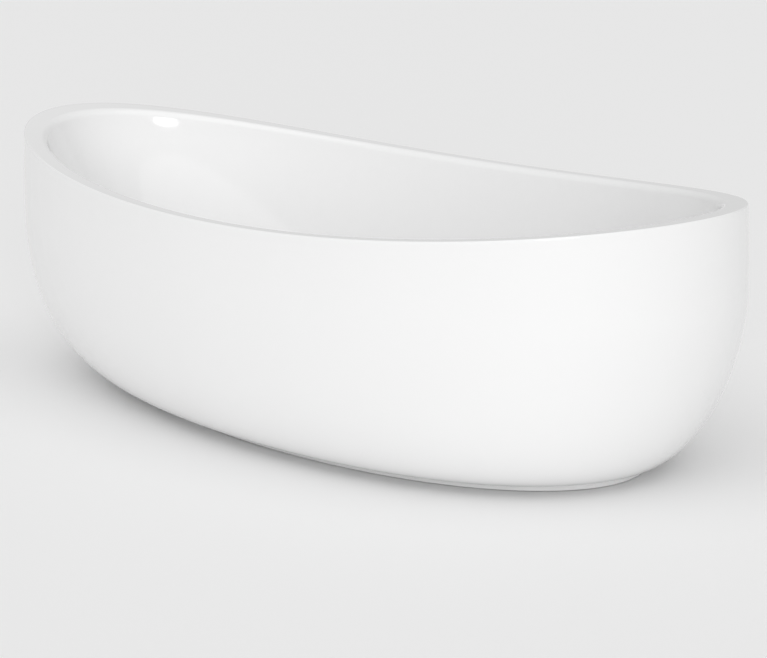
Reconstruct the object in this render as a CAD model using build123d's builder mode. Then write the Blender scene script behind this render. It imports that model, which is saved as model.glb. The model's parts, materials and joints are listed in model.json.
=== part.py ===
"""Freestanding egg-shaped bathtub: glossy basin and skirt on a levelling frame, with pop-up waste and trap.

Frame: +X towards the foot end, +Z up, origin on the floor in the middle of the length and the width.
"""
from build123d import *
from math import atan2, cos, pi, sin
import os

os.makedirs("parts", exist_ok=True)

# ---- overall shape -------------------------------------------------------------------------------
LENGTH = 1900.0
WIDTH = 950.0
STATION = 125.0          # x of the widest place, ahead of the middle
BULGE = 0.08             # how much fuller than an ellipse the outline is
RIM_HEAD = 566.0         # rim height at the head end
RIM_FOOT = 543.0         # rim height at the foot end
RIM_MIDDLE = 485.0       # lowest rim height, at the middle
RIM_LINEAR = 0.4         # share of the end-to-end tilt that is straight
TOP = 640.0              # height where every wall profile is measured to
BAND_TOP = 610.0         # shells are lofted to here, then cut to the rim line
CUT_TOP = 620.0          # and hollowed to here

# ---- shell thicknesses ---------------------------------------------------------------------------
RIM_DECK = 6.0           # thickness of the rim band
WALL = 6.0               # basin laminate
SKIRT = 5.0              # skirt laminate

# ---- heights from the floor up -------------------------------------------------------------------
RING_LIFT = 1.5          # silicone joint under the plinth ring
SKIRT_FOOT = 16.0        # underside of the skirt, top of the plinth ring
BOARD_TOP = 94.0         # underside of the basin
BOARD = 16.0             # base board thickness
BASIN_FLOOR = 100.0      # inside bottom of the basin
MEMBER = 25.0            # height of a cross member
RAIL = 20.0              # square rail
WALL_GAUGE = 2.5         # steel thickness of the cross members
RAIL_GAUGE = 2.0

# ---- plan positions ------------------------------------------------------------------------------
MEMBER_REACH = 420.0     # cross members stand this far each side of STATION
MEMBER_WIDTH = 35.0
MEMBER_HALF = 235.0      # half length of a cross member
RAIL_Y = 150.0
FOOT_Y = 185.0
BOARD_HALF = (480.0, 200.0)
RING_INSET = 11.0        # plinth ring stands back from the skirt's lower edge
RING_WIDE = 18.0
FLANGE = 35.0            # inward flange at the skirt's lower edge

# ---- levelling feet ------------------------------------------------------------------------------
PAD_R = 25.0
PAD_HIGH = 10.0
STEM_R = 5.95            # M12
NUT_BORE = 6.02
NUT_FLATS = 19.0
STEM_TOP = 72.0
WASHER = 2.0
WASHER_R = 12.0
WASHER_PLAY = 0.45
MEMBER_PLAY = 0.55       # clearance round a stem in the cross member
STEM_FLOOR = 4.0         # the stem stands this high in the pad
COLLAR = 6.0             # hexagon on the stem, above the pad
NUT_HIGH = 10.0
LOCK_NUT_HIGH = 6.5
PAD_TAPER = 8            # degrees

# ---- waste and overflow --------------------------------------------------------------------------
DRAIN_R = 26.0           # hole in the basin floor
SLEEVE_R = 25.7
SLEEVE_BORE = 23.0
STEM = 4.0               # stopper stem and knob shaft
GUIDE = 4.06             # bores they run in
BODY_R = 29.5
BODY_BORE = 26.0
PIPE_Z = 43.0            # level of the overflow pipe and the body's outlet
TRAP_X = STATION + 95.0
TRAP_R = 38.0
TRAP_FOOT = 12.0
TRAP_TOP = 72.0
DIP_GAP = 9.0            # gap under the trap's dip plate
OUTLET_Z = 47.0
OUTLET_R = 20.0          # 40 mm outlet pipe
OUTLET_END = STATION + 230.0
PIPE_START = TRAP_X + 42
OUTLET_WALL = 2.2
OUTLET_STEP = 0.4        # the length inside the trap and its nut is turned down by this
SPIGOT = 46.0            # free full-size end of the outlet pipe
LEVER_ARM = 22.0
LEVER_X_HALF = 3.0
OVERFLOW_Z = 395.0       # overflow centre on the -Y wall
OVERFLOW_HOLE = 24.0
HOSE_R = 11.0
CABLE_R = 2.5
CABLE_X = STATION + 22.0


def rim_height(x):
    """Height of the rim line above the floor: a saddle, higher at the head than at the foot."""
    s = x / (LENGTH / 2)
    mean_end = (RIM_HEAD + RIM_FOOT) / 2
    tilt = (RIM_FOOT - RIM_HEAD) / 2
    return RIM_MIDDLE + (mean_end - RIM_MIDDLE) * s**2 + tilt * (RIM_LINEAR * s + (1 - RIM_LINEAR) * s**3)


def wall_reach(height, base, full, power, floor, belly, tuck):
    """Distance from the widest station out to a wall: rounded up to the belly, then tucked in."""
    rise = min(max((height - floor) / (belly - floor), 0), 1)
    over = max((height - belly) / (TOP - belly), 0)
    return base + (full - base) * (1 - (1 - rise) ** power) ** (1 / power) - tuck * over**2


def outside(height, inset=0.0):
    """Head, foot and side reach of the outer skin."""
    floor = SKIRT_FOOT + inset
    head = wall_reach(height, 650 - inset, LENGTH / 2 + STATION - inset, 2.6, floor, 405, 19)
    foot = wall_reach(height, 645 - inset, LENGTH / 2 - STATION - inset, 1.6, floor, 355, 17)
    side = wall_reach(height, 333 - inset, WIDTH / 2 - inset, 2.15, floor, 370, 4)
    return head, foot, side


def inside(height, wall=0.0):
    """Head, foot and side reach of the basin's inner skin, or of its back."""
    floor = BASIN_FLOOR - wall
    head = wall_reach(height, 500 + wall, 1012 + wall, 1.6, floor, 600, 0)
    foot = wall_reach(height, 500 + wall, 762 + wall, 1.8, floor, 600, 0)
    side = wall_reach(height, 225 + wall, 449 + wall, 1.7, floor, 600, 0)
    return head, foot, side


def egg(head, foot, side, shrink=0.0, count=24):
    """Points round a smooth egg, widest at STATION."""
    head, foot, side = head - shrink, foot - shrink, side - shrink
    middle = STATION + (foot - head) / 2
    half = (foot + head) / 2
    skew = (head - foot) / 2
    turns = [2 * pi * i / count for i in range(count)]
    return [
        (middle + half * cos(a) + skew * sin(a) ** 2, side * sin(a) * (1 + BULGE * cos(a) ** 2))
        for a in turns
    ]


def egg_face(height, reaches, shrink=0.0):
    """A flat egg at a height."""
    with BuildSketch(Plane.XY.offset(height)) as cut:
        with BuildLine():
            Spline(*egg(*reaches, shrink), periodic=True)
        make_face()
    return cut.sketch


def stack(shape, floor, top, count=15, crowd=2.4, **how):
    """Eggs from floor to top, crowded near the floor where the wall turns under."""
    levels = [floor + (top - floor) * (i / (count - 1)) ** crowd for i in range(count)]
    return [egg_face(level, shape(level, **how)) for level in levels]


def rim_band(low, high):
    """Side view, on the far side, of the space between two offsets from the rim line."""
    ends = LENGTH / 2 + 50
    xs = [-ends + 2 * ends * i / 16 for i in range(17)]
    with BuildSketch(Plane.XZ.offset(-WIDTH)) as band:
        with BuildLine():
            Spline(*[(x, rim_height(x) + high) for x in xs])
            Spline(*[(x, rim_height(x) + low) for x in xs])
            Line((-ends, rim_height(-ends) + low), (-ends, rim_height(-ends) + high))
            Line((ends, rim_height(ends) + low), (ends, rim_height(ends) + high))
        make_face()
    return band.sketch


def save(piece, label):
    """Label one piece and write it."""
    piece.part.label = label
    export_step(piece.part, f"parts/{label}.step")


# ---- where the overflow sits on the wall ----------------------------------------------------------
wall_y = -inside(OVERFLOW_Z)[2]
wall_slope = (inside(OVERFLOW_Z + 1)[2] - inside(OVERFLOW_Z - 1)[2]) / 2
lean = atan2(wall_slope, 1)
overflow = Plane(origin=(STATION, wall_y, OVERFLOW_Z), x_dir=(1, 0, 0), z_dir=(0, cos(lean), sin(lean)))
drop_y = wall_y - 24 * cos(lean)     # the overflow pipe drops from here


# ---- shells --------------------------------------------------------------------------------------
def make_basin():
    with BuildPart() as basin:
        loft(sections=stack(outside, SKIRT_FOOT, BAND_TOP))
        extrude(to_extrude=rim_band(-RIM_DECK, 0), amount=2 * WIDTH, mode=Mode.INTERSECT)
        with BuildPart(mode=Mode.PRIVATE) as tray:
            loft(sections=stack(inside, BOARD_TOP, BAND_TOP, wall=WALL))
            extrude(to_extrude=rim_band(-TOP, -RIM_DECK / 2), amount=2 * WIDTH, mode=Mode.INTERSECT)
        add(tray)
        loft(sections=stack(inside, BASIN_FLOOR, CUT_TOP), mode=Mode.SUBTRACT)
        with BuildSketch(Plane.XY.offset(BOARD_TOP - 1)):
            with Locations((STATION, 0)):
                Circle(DRAIN_R)
        extrude(amount=WALL + 2, mode=Mode.SUBTRACT)
        with BuildSketch(overflow):
            Circle(OVERFLOW_HOLE)
        extrude(amount=WALL * 2, both=True, mode=Mode.SUBTRACT)
    save(basin, "basin")


def make_skirt():
    with BuildPart() as skirt:
        loft(sections=stack(outside, SKIRT_FOOT, BAND_TOP))
        loft(sections=stack(outside, SKIRT_FOOT + SKIRT, CUT_TOP, inset=SKIRT), mode=Mode.SUBTRACT)
        extrude(to_extrude=rim_band(-TOP, -RIM_DECK), amount=2 * WIDTH, mode=Mode.INTERSECT)
        opening = egg_face(SKIRT_FOOT - 1, outside(SKIRT_FOOT), FLANGE)
        extrude(to_extrude=opening, amount=SKIRT + 2, mode=Mode.SUBTRACT)
    save(skirt, "outer_skirt")


def make_ring():
    with BuildPart() as ring:
        outline = outside(SKIRT_FOOT)
        extrude(to_extrude=egg_face(RING_LIFT, outline, RING_INSET), amount=SKIRT_FOOT - RING_LIFT)
        extrude(
            to_extrude=egg_face(RING_LIFT, outline, RING_INSET + RING_WIDE),
            amount=SKIRT_FOOT - RING_LIFT,
            mode=Mode.SUBTRACT,
        )
    save(ring, "plinth_ring")


# ---- floor frame ---------------------------------------------------------------------------------
WASTE_OPENING = 55.0     # hole in the base board round the waste
SCREW_HEAD_R = 4.5
SCREW_HEAD = 3.0
SCREW_PLAY = 0.25        # clearance round a screw
BOARD_SCREW = 36.0       # length with its head
SCREW_HOLE = 12.0        # how deep it goes into the board
MEMBER_ZS = BOARD_TOP - BOARD - MEMBER               # underside of the cross members
MEMBER_XS = (STATION - MEMBER_REACH, STATION + MEMBER_REACH)
FEET = [(x, y) for x in MEMBER_XS for y in (-FOOT_Y, FOOT_Y)]
BOARD_SCREWS = [(x, y) for x in MEMBER_XS for y in (-110, -60, 60, 110)]
SCREW_R = 2.5


def make_base_board():
    """The board bonded under the basin, open round the waste."""
    with BuildPart() as board:
        with BuildSketch(Plane.XY.offset(BOARD_TOP - BOARD)):
            with Locations((STATION, 0)):
                RectangleRounded(2 * BOARD_HALF[0], 2 * BOARD_HALF[1], 60)
                Circle(WASTE_OPENING, mode=Mode.SUBTRACT)
            with Locations((TRAP_X, 0)):
                Circle(TRAP_R + 12, mode=Mode.SUBTRACT)
        extrude(amount=BOARD)
        with BuildSketch(Plane.XY.offset(BOARD_TOP - BOARD)):
            with Locations(*BOARD_SCREWS):
                Circle(SCREW_R + SCREW_PLAY / 2)
        extrude(amount=SCREW_HOLE, mode=Mode.SUBTRACT)
    save(board, "base_board")


def make_cross_member(x, label):
    """A steel channel, open upwards, with holes for two feet and four board screws."""
    with BuildPart() as member:
        with BuildSketch(Plane.XZ.offset(-MEMBER_HALF)):
            with Locations((x, MEMBER_ZS + MEMBER / 2)):
                Rectangle(MEMBER_WIDTH, MEMBER)
            with Locations((x, MEMBER_ZS + MEMBER / 2 + WALL_GAUGE)):
                Rectangle(MEMBER_WIDTH - 2 * WALL_GAUGE, MEMBER, mode=Mode.SUBTRACT)
        extrude(amount=2 * MEMBER_HALF)
        with BuildSketch(Plane.XY.offset(MEMBER_ZS)):
            with Locations(*[spot for spot in FEET if spot[0] == x]):
                Circle(STEM_R + MEMBER_PLAY)
            with Locations(*[spot for spot in BOARD_SCREWS if spot[0] == x]):
                Circle(SCREW_R + SCREW_PLAY)
        extrude(amount=WALL_GAUGE, mode=Mode.SUBTRACT)
    save(member, label)


def make_rail(y, label):
    """A square steel tube welded between the two cross members."""
    length = 2 * MEMBER_REACH - MEMBER_WIDTH
    with BuildPart() as rail:
        with BuildSketch(Plane.YZ.offset(STATION - length / 2)):
            with Locations((y, BOARD_TOP - BOARD - RAIL / 2)):
                RectangleRounded(RAIL, RAIL, 2)
                RectangleRounded(RAIL - 2 * RAIL_GAUGE, RAIL - 2 * RAIL_GAUGE, 1, mode=Mode.SUBTRACT)
        extrude(amount=length)
    save(rail, label)


def make_board_screws():
    """Screws up through the cross members into the base board."""
    with BuildPart() as screws:
        with BuildSketch(Plane.XY.offset(MEMBER_ZS - SCREW_HEAD)):
            with Locations(*BOARD_SCREWS):
                Circle(SCREW_HEAD_R)
        extrude(amount=SCREW_HEAD)
        with BuildSketch(Plane.XY.offset(MEMBER_ZS - SCREW_HEAD)):
            with Locations(*BOARD_SCREWS):
                Circle(SCREW_R)
        extrude(amount=BOARD_SCREW)
    save(screws, "board_screws")


def make_foot(x, y, number):
    """One levelling foot: soft pad, threaded stem, adjusting nut below the member and lock nut above."""
    with BuildPart() as pad:
        with BuildSketch():
            with Locations((x, y)):
                Circle(PAD_R)
        extrude(amount=PAD_HIGH, taper=PAD_TAPER)
        with BuildSketch(Plane.XY.offset(STEM_FLOOR)):
            with Locations((x, y)):
                Circle(STEM_R + 0.05)
        extrude(amount=PAD_HIGH, mode=Mode.SUBTRACT)
    save(pad, f"foot_pad_{number}")

    with BuildPart() as stem:
        with BuildSketch(Plane.XY.offset(STEM_FLOOR)):
            with Locations((x, y)):
                Circle(STEM_R)
        extrude(amount=STEM_TOP - STEM_FLOOR)
        chamfer(stem.edges().sort_by(Axis.Z)[-1], 1)
        with BuildSketch(Plane.XY.offset(PAD_HIGH)):
            with Locations((x, y)):
                RegularPolygon(NUT_FLATS / 2, 6, major_radius=False)
        extrude(amount=COLLAR)
    save(stem, f"foot_stem_{number}")

    nut_levels = {
        "adjusting_nut": (MEMBER_ZS - WASHER - NUT_HIGH, NUT_HIGH),
        "lock_nut": (MEMBER_ZS + WALL_GAUGE + WASHER, LOCK_NUT_HIGH),
    }
    for kind, (level, high) in nut_levels.items():
        with BuildPart() as nut:
            with BuildSketch(Plane.XY.offset(level)):
                with Locations((x, y)):
                    RegularPolygon(NUT_FLATS / 2, 6, major_radius=False)
                    Circle(NUT_BORE, mode=Mode.SUBTRACT)
            extrude(amount=high)
        save(nut, f"{kind}_{number}")


def make_foot_washers():
    with BuildPart() as washers:
        for level in (MEMBER_ZS - WASHER, MEMBER_ZS + WALL_GAUGE):
            with BuildSketch(Plane.XY.offset(level)):
                with Locations(*FEET):
                    Circle(WASHER_R)
                    Circle(STEM_R + WASHER_PLAY, mode=Mode.SUBTRACT)
            extrude(amount=WASHER)
    save(washers, "foot_washers")


# ---- brackets that hold the skirt's lower edge ---------------------------------------------------
FLANGE_TOP = SKIRT_FOOT + SKIRT
BRACKET = 2.5
BRACKET_Y = 228.0
BRACKET_WIDE = 18.0
BRACKET_FOOT = 30.0      # length of the lower leg
FOOT_SCREW = 18.0        # screw's distance along the lower leg
LEG_SCREW = 14.0         # height of the upper screw above the member's underside


def bracket_spot(x, y):
    """Side of the member that faces STATION, and the direction towards it."""
    inward = 1 if x < STATION else -1
    return x + inward * MEMBER_WIDTH / 2, inward


def make_bracket(x, y, number):
    """An angle plate from the member's side down to the skirt's inward flange."""
    face, inward = bracket_spot(x, y)
    across = BRACKET_Y if y > 0 else -BRACKET_Y
    with BuildPart() as bracket:
        with BuildSketch(Plane.XZ.offset(-across - BRACKET_WIDE / 2)):
            with BuildLine():
                Polyline(
                    (face, FLANGE_TOP),
                    (face + inward * BRACKET_FOOT, FLANGE_TOP),
                    (face + inward * BRACKET_FOOT, FLANGE_TOP + BRACKET),
                    (face + inward * BRACKET, FLANGE_TOP + BRACKET),
                    (face + inward * BRACKET, BOARD_TOP - BOARD - 3),
                    (face, BOARD_TOP - BOARD - 3),
                    close=True,
                )
            make_face()
        extrude(amount=BRACKET_WIDE)
        with BuildSketch(Plane.XY.offset(FLANGE_TOP)):
            with Locations((face + inward * FOOT_SCREW, across)):
                Circle(SCREW_R + SCREW_PLAY)
        extrude(amount=BRACKET, mode=Mode.SUBTRACT)
        with BuildSketch(Plane.YZ.offset(face - BRACKET)):
            with Locations((across, MEMBER_ZS + LEG_SCREW)):
                Circle(SCREW_R + SCREW_PLAY)
        extrude(amount=2 * BRACKET, mode=Mode.SUBTRACT)
    save(bracket, f"skirt_bracket_{number}")


def make_bracket_screws():
    """Pan-head screws: one through each bracket's foot, one into the member's side."""
    with BuildPart() as screws:
        for x, y in FEET:
            face, inward = bracket_spot(x, y)
            across = BRACKET_Y if y > 0 else -BRACKET_Y
            with BuildSketch(Plane.XY.offset(FLANGE_TOP + BRACKET)):
                with Locations((face + inward * FOOT_SCREW, across)):
                    Circle(SCREW_HEAD_R)
            extrude(amount=SCREW_HEAD)
            with BuildSketch(Plane.XY.offset(FLANGE_TOP)):
                with Locations((face + inward * FOOT_SCREW, across)):
                    Circle(SCREW_R)
            extrude(amount=BRACKET)
            with BuildSketch(Plane.YZ.offset(face + inward * BRACKET)):
                with Locations((across, MEMBER_ZS + LEG_SCREW)):
                    Circle(SCREW_HEAD_R)
            extrude(amount=inward * SCREW_HEAD)
            with BuildSketch(Plane.YZ.offset(face)):
                with Locations((across, MEMBER_ZS + LEG_SCREW)):
                    Circle(SCREW_R)
            extrude(amount=inward * BRACKET)
    save(screws, "bracket_screws")


# ---- waste ---------------------------------------------------------------------------------------
SEAT = BASIN_FLOOR + 2.5         # where the stopper's seal sits
SEAL_GAP = 0.1
SEAL = 2.0
SEAL_R = (18.0, 28.0)
STOPPER_BOTTOM = SEAT + SEAL_GAP + SEAL
CAP_R = 30.5
CAP = 5.5
CAP_ROUND = 4.0
TOP_GASKET = 1.5
BOTTOM_GASKET = 2.5
BODY_TOP = BOARD_TOP - BOTTOM_GASKET
BODY_WALL = 3.0
BODY_FLANGE_R = 38.0
SLEEVE_FOOT = 74.0
HUB_LEVEL = 84.0
HUB = 7.0                # the guide's height and its hub's radius
GUIDE_ARM = 3.5
PORT = 60.0              # the overflow branch and the cable boss reach this far
PORT_R = 15.0
BOSS_R = 5.0
STUB = 58.0              # outlet stub towards the trap
STUB_R = 12.0
STUB_BORE = 9.5
STEM_LOW = 65.2                  # lower end of the stopper's stem, just above the lever
CHAMBER_FLOOR = 30.0
PIVOT_Y = -21.0
PIVOT_Z = 66.5
LEVER_SWING = 15.8               # degrees each side of level
LEVER_HALF_HIGH = 2.8


def flat_ring(inner, outer, low, high, label):
    """A flat ring about the drain's axis."""
    with BuildPart() as piece:
        with BuildSketch(Plane.XY.offset(low)):
            with Locations((STATION, 0)):
                Circle(outer)
                Circle(inner, mode=Mode.SUBTRACT)
        extrude(amount=high - low)
    save(piece, label)


def make_waste_flange():
    """Chrome flange with a threaded sleeve and a four-armed guide for the stopper."""
    rim = SEAT + 1.7
    with BuildPart() as flange:
        with BuildSketch(Plane.XZ):
            with BuildLine():
                Polyline(
                    (STATION + SLEEVE_BORE, SEAT),
                    (STATION + SLEEVE_BORE, SLEEVE_FOOT),
                    (STATION + SLEEVE_R, SLEEVE_FOOT),
                    (STATION + SLEEVE_R, BASIN_FLOOR + TOP_GASKET),
                    (STATION + 37, BASIN_FLOOR + TOP_GASKET),
                    (STATION + 36.5, SEAT),
                    (STATION + 34.5, rim),
                    (STATION + 32, rim),
                    (STATION + 31.2, SEAT),
                    close=True,
                )
            make_face()
        revolve(axis=Axis((STATION, 0, 0), (0, 0, 1)))
        with BuildSketch(Plane.XY.offset(HUB_LEVEL)):
            with Locations((STATION, 0)):
                Circle(HUB)
                Rectangle(2 * SLEEVE_BORE + 1, GUIDE_ARM)
                Rectangle(GUIDE_ARM, 2 * SLEEVE_BORE + 1)
                Circle(GUIDE, mode=Mode.SUBTRACT)
        extrude(amount=HUB)
    save(flange, "waste_flange")


def make_stopper():
    """Domed cap, soft seal and guided stem; the cap rises to open the waste."""
    with BuildPart() as cap:
        with BuildSketch(Plane.XY.offset(STOPPER_BOTTOM)):
            with Locations((STATION, 0)):
                Circle(CAP_R)
        extrude(amount=CAP)
        fillet(cap.edges().sort_by(Axis.Z)[-1], CAP_ROUND)
    save(cap, "stopper_cap")
    flat_ring(*SEAL_R, SEAT + SEAL_GAP, STOPPER_BOTTOM, "stopper_seal")
    with BuildPart() as stem:
        with BuildSketch(Plane.XY.offset(STEM_LOW)):
            with Locations((STATION, 0)):
                Circle(STEM)
        extrude(amount=STOPPER_BOTTOM - STEM_LOW)
    save(stem, "stopper_stem")


def make_waste_body():
    """Chamber under the basin: flange, lever lugs, overflow branch, cable boss and outlet stub."""
    with BuildPart() as body:
        with BuildSketch(Plane.XY.offset(CHAMBER_FLOOR - BODY_WALL)):
            with Locations((STATION, 0)):
                Circle(BODY_R)
        extrude(amount=BODY_TOP - CHAMBER_FLOOR + BODY_WALL)
        with BuildSketch(Plane.XY.offset(BODY_TOP - BODY_WALL)):
            with Locations((STATION, 0)):
                Circle(BODY_FLANGE_R)
        extrude(amount=BODY_WALL)
        with BuildSketch(Plane.XZ):
            with Locations((STATION, PIPE_Z)):
                Circle(PORT_R)
            with Locations((CABLE_X, PIPE_Z)):
                Circle(BOSS_R)
        extrude(amount=PORT)
        with BuildSketch(Plane.YZ.offset(STATION)):
            with Locations((0, PIPE_Z)):
                Circle(STUB_R)
        extrude(amount=STUB)
        with BuildSketch(Plane.XY.offset(CHAMBER_FLOOR)):
            with Locations((STATION, 0)):
                Circle(BODY_BORE)
        extrude(amount=BODY_TOP, mode=Mode.SUBTRACT)
        with BuildSketch(Plane.XZ):
            with Locations((STATION, PIPE_Z)):
                Circle(HOSE_R + 0.2)
        extrude(amount=PORT + 1, mode=Mode.SUBTRACT)
        with BuildSketch(Plane.XZ.offset(PORT - 20)):
            with Locations((CABLE_X, PIPE_Z)):
                Circle(CABLE_R + 0.1)
        extrude(amount=21, mode=Mode.SUBTRACT)
        with BuildSketch(Plane.YZ.offset(STATION)):
            with Locations((0, PIPE_Z)):
                Circle(STUB_BORE)
        extrude(amount=STUB + 1, mode=Mode.SUBTRACT)
        for side in (-1, 1):
            with BuildSketch(Plane.YZ.offset(STATION + side * 7)):
                with Locations((PIVOT_Y - 1.5, PIVOT_Z)):
                    Rectangle(9, 9)
                with Locations((PIVOT_Y, PIVOT_Z)):
                    Circle(2, mode=Mode.SUBTRACT)
            extrude(amount=2, both=True)
    save(body, "waste_body")


def make_lever():
    """Lift lever under the stopper's stem, shown at its low end, and the pin it turns on."""
    swing = LEVER_SWING * pi / 180
    along = (0, cos(swing), -sin(swing))
    with BuildPart() as lever:
        with BuildSketch(Plane(origin=(STATION, PIVOT_Y, PIVOT_Z), x_dir=along, z_dir=(1, 0, 0))):
            with Locations((LEVER_ARM / 2, 0)):
                SlotCenterToCenter(LEVER_ARM, 2 * LEVER_HALF_HIGH)
            Circle(3.6)
            Circle(2.04, mode=Mode.SUBTRACT)
        extrude(amount=LEVER_X_HALF, both=True)
    save(lever, "lift_lever")
    with BuildPart() as pin:
        with BuildSketch(Plane.YZ.offset(STATION)):
            with Locations((PIVOT_Y, PIVOT_Z)):
                Circle(1.98)
        extrude(amount=9, both=True)
    save(pin, "lever_pin")


def make_trap():
    """Low trap beside the waste body, its lid with a dip plate, and the outlet pipe with its nut."""
    with BuildPart() as trap:
        with BuildSketch(Plane.XY.offset(TRAP_FOOT)):
            with Locations((TRAP_X, 0)):
                Circle(TRAP_R)
        extrude(amount=TRAP_TOP - TRAP_FOOT)
        with BuildSketch(Plane.YZ.offset(STATION + 46)):
            with Locations((0, PIPE_Z)):
                Circle(16)
        extrude(amount=20)
        with BuildSketch(Plane.YZ.offset(TRAP_X)):
            with Locations((0, OUTLET_Z)):
                Circle(OUTLET_R + 4)
        extrude(amount=66)
        with BuildSketch(Plane.XY.offset(TRAP_FOOT + BODY_WALL)):
            with Locations((TRAP_X, 0)):
                Circle(TRAP_R - BODY_WALL)
        extrude(amount=TRAP_TOP, mode=Mode.SUBTRACT)
        with BuildSketch(Plane.YZ.offset(STATION + 45)):
            with Locations((0, PIPE_Z)):
                Circle(12.2)
        extrude(amount=30, mode=Mode.SUBTRACT)
        with BuildSketch(Plane.YZ.offset(TRAP_X)):
            with Locations((0, OUTLET_Z)):
                Circle(OUTLET_R + 0.2)
        extrude(amount=70, mode=Mode.SUBTRACT)
    save(trap, "trap_body")
    with BuildPart() as lid:
        with BuildSketch(Plane.XY.offset(TRAP_TOP)):
            with Locations((TRAP_X, 0)):
                Circle(TRAP_R)
        extrude(amount=5)
        fillet(lid.edges().sort_by(Axis.Z)[-1], 2)
        with BuildSketch(Plane.XY.offset(TRAP_FOOT + DIP_GAP)):
            with Locations((TRAP_X - 2, 0)):
                Rectangle(3, 2 * TRAP_R - 10)
        extrude(amount=TRAP_TOP - TRAP_FOOT - DIP_GAP)
    save(lid, "trap_lid")
    with BuildPart() as pipe:
        with BuildSketch(Plane.YZ.offset(PIPE_START)):
            with Locations((0, OUTLET_Z)):
                Circle(OUTLET_R - OUTLET_STEP)
        extrude(amount=OUTLET_END - SPIGOT - PIPE_START)
        with BuildSketch(Plane.YZ.offset(OUTLET_END - SPIGOT)):
            with Locations((0, OUTLET_Z)):
                Circle(OUTLET_R)
        extrude(amount=SPIGOT)
        with BuildSketch(Plane.YZ.offset(PIPE_START)):
            with Locations((0, OUTLET_Z)):
                Circle(OUTLET_R - OUTLET_WALL)
        extrude(amount=OUTLET_END - PIPE_START, mode=Mode.SUBTRACT)
    save(pipe, "outlet_pipe")
    with BuildPart() as nuts:
        with BuildSketch(Plane.YZ.offset(TRAP_X + 67)):
            with Locations((0, OUTLET_Z)):
                RegularPolygon(OUTLET_R + 5, 8, major_radius=False)
                Circle(OUTLET_R + 0.2, mode=Mode.SUBTRACT)
        extrude(amount=14)
        with BuildSketch(Plane.YZ.offset(STATION + 32)):
            with Locations((0, PIPE_Z)):
                RegularPolygon(17, 8, major_radius=False)
                Circle(12.2, mode=Mode.SUBTRACT)
        extrude(amount=13.5)
        with BuildSketch(Plane.XZ.offset(61)):
            with Locations((STATION, PIPE_Z)):
                RegularPolygon(14.5, 8, major_radius=False)
                Circle(HOSE_R + 0.2, mode=Mode.SUBTRACT)
        extrude(amount=12)
    save(nuts, "slip_nuts")


# ---- overflow ------------------------------------------------------------------------------------
CUP_R = 26.0
CUP_WALL = 3.0
SPACER_X = 18.0          # overflow screws stand this far each side of the axis
ROSETTE_R = 34.0
ROSETTE_BACK = 0.8
ROSETTE = 2.4
ROSETTE_FACE = ROSETTE_BACK + ROSETTE
SLOT_CIRCLE = 16.0
KNOB_R = 36.0
KNOB_BACK = 6.0
KNOB = 13.0
KNOB_WALL = 3.0
HUB_BACK = 7.6
FLUTE_CIRCLE = 37.6
SHAFT_BACK = -30.0
DRUM_R = 12.0            # the cable winds on it
CUP_BACK = -38.0
CUP_FRONT = -WALL - 4
HOSE_TOP = OVERFLOW_Z - 45


def at_wall(distance):
    """The overflow's plane, moved out of the wall into the basin by a distance."""
    return overflow.offset(distance)


def make_overflow_body():
    """Cup behind the wall with a socket for the hose and a boss for the cable."""
    with BuildPart() as cup:
        with BuildSketch(at_wall(CUP_BACK)):
            Circle(CUP_R)
        extrude(amount=CUP_FRONT - CUP_BACK)
        with BuildSketch(at_wall(CUP_FRONT)):
            Circle(CUP_R + 6)
        extrude(amount=-CUP_WALL)
        with BuildSketch(Plane.XY.offset(HOSE_TOP)):
            with Locations((STATION, drop_y)):
                Circle(14)
            with Locations((CABLE_X, drop_y)):
                Circle(5)
        extrude(amount=30)
        with BuildSketch(at_wall(CUP_FRONT)):
            Circle(CUP_R - CUP_WALL)
        extrude(amount=CUP_BACK - CUP_FRONT + CUP_WALL, mode=Mode.SUBTRACT)
        with BuildSketch(Plane.XY.offset(HOSE_TOP)):
            with Locations((STATION, drop_y)):
                Circle(HOSE_R + 0.2)
        extrude(amount=40, mode=Mode.SUBTRACT)
        with BuildSketch(Plane.XY.offset(HOSE_TOP)):
            with Locations((CABLE_X, drop_y)):
                Circle(CABLE_R + 0.1)
        extrude(amount=12, mode=Mode.SUBTRACT)
        for side in (-1, 1):
            with BuildSketch(at_wall(CUP_BACK)):
                with Locations((side * SPACER_X, 0)):
                    Circle(4)
                    Circle(2, mode=Mode.SUBTRACT)
            extrude(amount=CUP_FRONT - CUP_BACK)
    save(cup, "overflow_body")


def disc(low, high, outer, inner, label):
    """A flat ring square to the overflow's axis."""
    with BuildPart() as piece:
        with BuildSketch(at_wall(low)):
            Circle(outer)
            Circle(inner, mode=Mode.SUBTRACT)
        extrude(amount=high - low)
    save(piece, label)


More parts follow.
